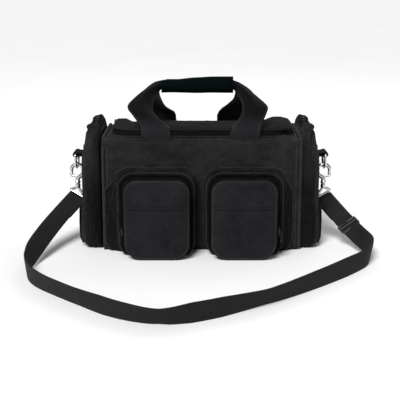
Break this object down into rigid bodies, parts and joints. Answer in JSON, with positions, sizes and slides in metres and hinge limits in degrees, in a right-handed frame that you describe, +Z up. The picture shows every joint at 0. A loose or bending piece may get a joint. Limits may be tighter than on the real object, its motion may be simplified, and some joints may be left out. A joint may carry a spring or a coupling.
{
  "type": "flight bag",
  "caption": "Soft zipped flight bag with a U-zipped lid, front pockets, end pockets, joined webbing handles and a clip-on shoulder strap.",
  "frame": {"origin": "middle of the bag's footprint, on the surface it stands on", "axes": "+X to the bag's right seen from its front, +Y to its back, +Z up"},
  "size_m": [0.4426, 0.3987, 0.2275],
  "materials": {
    "shell_fabric": "woven nylon, matt",
    "foam": "closed-cell foam",
    "lining_fabric": "thin woven lining",
    "board": "stiff insert board",
    "piping": "bound cord",
    "zip_tape": "knitted tape with a coil",
    "webbing": "ribbed nylon webbing",
    "wrap_fabric": "smooth close weave",
    "black_plastic": "moulded, fine grain",
    "zip_metal": "black lacquer",
    "nickel": "satin nickel plate"
  },
  "bodies": {
    "bag": {"base_panel": "shell_fabric", "front_panel": "shell_fabric", "back_panel": "shell_fabric", "left_end_panel": "shell_fabric", "right_end_panel": "shell_fabric", "wall_foam": "foam", "lining": "lining_fabric", "base_board": "board", "top_rim": "shell_fabric", "end_pipings": "piping", "main_zip_tape_body": "zip_tape", "lid_hinge_strip": "shell_fabric", "end_slip_pockets": "shell_fabric", "front_handle_patches": "webbing", "rear_handle_patches": "webbing", "left_pocket_gusset": "shell_fabric", "left_pocket_zip_tape": "zip_tape", "left_end_gusset": "shell_fabric", "left_end_face": "shell_fabric", "left_end_zip_tape": "zip_tape", "left_ring_tab": "webbing", "left_d_ring": "nickel", "right_pocket_gusset": "shell_fabric", "right_pocket_zip_tape": "zip_tape", "right_end_gusset": "shell_fabric", "right_end_face": "shell_fabric", "right_end_zip_tape": "zip_tape", "right_ring_tab": "webbing", "right_d_ring": "nickel"},
    "lid": {"lid_panel": "shell_fabric", "lid_foam": "foam", "main_zip_tape_lid": "zip_tape"},
    "front_handle": {"front_handle_webbing": "webbing"},
    "rear_handle": {"rear_handle_webbing": "webbing", "grip_wrap": "wrap_fabric"},
    "strap": {"strap_webbing": "webbing", "strap_adjuster": "black_plastic", "left_hook_eye": "nickel", "right_hook_eye": "nickel"},
    "left_flap": {"left_pocket_flap": "shell_fabric", "left_flap_piping": "piping"},
    "left_main_slider_body": {"left_main_slider": "zip_metal"},
    "left_main_pull_body": {"left_main_pull": "zip_metal"},
    "left_pocket_slider_body": {"left_pocket_slider": "zip_metal"},
    "left_pocket_pull_body": {"left_pocket_pull": "zip_metal"},
    "left_end_slider_body": {"left_end_slider": "zip_metal"},
    "left_end_pull_body": {"left_end_pull": "zip_metal"},
    "left_hook_body": {"left_hook": "nickel"},
    "left_gate_body": {"left_hook_gate": "nickel"},
    "right_flap": {"right_pocket_flap": "shell_fabric", "right_flap_piping": "piping"},
    "right_main_slider_body": {"right_main_slider": "zip_metal"},
    "right_main_pull_body": {"right_main_pull": "zip_metal"},
    "right_pocket_slider_body": {"right_pocket_slider": "zip_metal"},
    "right_pocket_pull_body": {"right_pocket_pull": "zip_metal"},
    "right_end_slider_body": {"right_end_slider": "zip_metal"},
    "right_end_pull_body": {"right_end_pull": "zip_metal"},
    "right_hook_body": {"right_hook": "nickel"},
    "right_gate_body": {"right_hook_gate": "nickel"}
  },
  "joints": [
    {"name": "lid_hinge", "type": "hinge", "parent": "bag", "child": "lid", "pos_m": [0, 0.08, 0.1591], "axis": [-1, 0, 0], "range_deg": [0, 95]},
    {"name": "front_handle_fold", "type": "hinge", "parent": "bag", "child": "front_handle", "pos_m": [0, -0.04375, 0.1515], "axis": [1, 0, 0], "range_deg": [0, 133]},
    {"name": "rear_handle_fold", "type": "hinge", "parent": "bag", "child": "rear_handle", "pos_m": [0, 0.09, 0.1515], "axis": [-1, 0, 0], "range_deg": [0, 95], "deforming": ["grip_wrap"]},
    {"name": "strap_swing", "type": "hinge", "parent": "bag", "child": "strap", "pos_m": [0, 0.02275, 0.115], "axis": [-1, 0, 0], "range_deg": [0, 75]},
    {"name": "left_flap_hinge", "type": "hinge", "parent": "bag", "child": "left_flap", "pos_m": [-0.0565, -0.0895, 0.003], "axis": [1, 0, 0], "range_deg": [0, 80]},
    {"name": "left_main_zip", "type": "slide", "parent": "bag", "child": "left_main_slider_body", "axis": [0, -1, 0], "range_m": [0, 0.06]},
    {"name": "left_main_pull_swing", "type": "hinge", "parent": "left_main_slider_body", "child": "left_main_pull_body", "pos_m": [-0.1225, 0.059, 0.1591], "axis": [0, 0, 1], "range_deg": [0, 40]},
    {"name": "left_pocket_zip", "type": "slide", "parent": "bag", "child": "left_pocket_slider_body", "axis": [0, 0, 1], "range_m": [0, 0.045]},
    {"name": "left_pocket_pull_swing", "type": "hinge", "parent": "left_pocket_slider_body", "child": "left_pocket_pull_body", "pos_m": [-0.1047, -0.0857, 0.038], "axis": [0, 1, 0], "range_deg": [0, 120]},
    {"name": "left_end_zip", "type": "slide", "parent": "bag", "child": "left_end_slider_body", "axis": [0, -1, 0], "range_m": [0, 0.04]},
    {"name": "left_end_pull_swing", "type": "hinge", "parent": "left_end_slider_body", "child": "left_end_pull_body", "pos_m": [-0.145, 0.04375, 0.1667], "axis": [1, 0, 0], "range_deg": [0, 150]},
    {"name": "left_hook_swivel", "type": "hinge", "parent": "strap", "child": "left_hook_body", "pos_m": [-0.173, 0.02275, 0.08], "axis": [0, 0, 1], "range_deg": [-20, 20]},
    {"name": "left_gate_open", "type": "hinge", "parent": "left_hook_body", "child": "left_gate_body", "pos_m": [-0.1809, 0.02275, 0.0889], "axis": [0, 1, 0], "range_deg": [0, 15], "stiffness_Nm_per_rad": 0.01},
    {"name": "right_flap_hinge", "type": "hinge", "parent": "bag", "child": "right_flap", "pos_m": [0.0565, -0.0895, 0.003], "axis": [1, 0, 0], "range_deg": [0, 80]},
    {"name": "right_main_zip", "type": "slide", "parent": "bag", "child": "right_main_slider_body", "axis": [0, -1, 0], "range_m": [0, 0.06]},
    {"name": "right_main_pull_swing", "type": "hinge", "parent": "right_main_slider_body", "child": "right_main_pull_body", "pos_m": [0.1225, 0.059, 0.1591], "axis": [0, 0, -1], "range_deg": [0, 40]},
    {"name": "right_pocket_zip", "type": "slide", "parent": "bag", "child": "right_pocket_slider_body", "axis": [0, 0, 1], "range_m": [0, 0.045]},
    {"name": "right_pocket_pull_swing", "type": "hinge", "parent": "right_pocket_slider_body", "child": "right_pocket_pull_body", "pos_m": [0.1047, -0.0857, 0.038], "axis": [0, -1, 0], "range_deg": [0, 120]},
    {"name": "right_end_zip", "type": "slide", "parent": "bag", "child": "right_end_slider_body", "axis": [0, -1, 0], "range_m": [0, 0.04]},
    {"name": "right_end_pull_swing", "type": "hinge", "parent": "right_end_slider_body", "child": "right_end_pull_body", "pos_m": [0.145, 0.04375, 0.1667], "axis": [1, 0, 0], "range_deg": [0, 150]},
    {"name": "right_hook_swivel", "type": "hinge", "parent": "strap", "child": "right_hook_body", "pos_m": [0.173, 0.02275, 0.08], "axis": [0, 0, 1], "range_deg": [-20, 20]},
    {"name": "right_gate_open", "type": "hinge", "parent": "right_hook_body", "child": "right_gate_body", "pos_m": [0.1809, 0.02275, 0.0889], "axis": [0, -1, 0], "range_deg": [0, 15], "stiffness_Nm_per_rad": 0.01}
  ],
  "couplings": [
    {"joint": "front_handle_fold", "follows": "lid_hinge", "ratio": 1.4},
    {"joint": "rear_handle_fold", "follows": "lid_hinge", "ratio": 1}
  ]
}
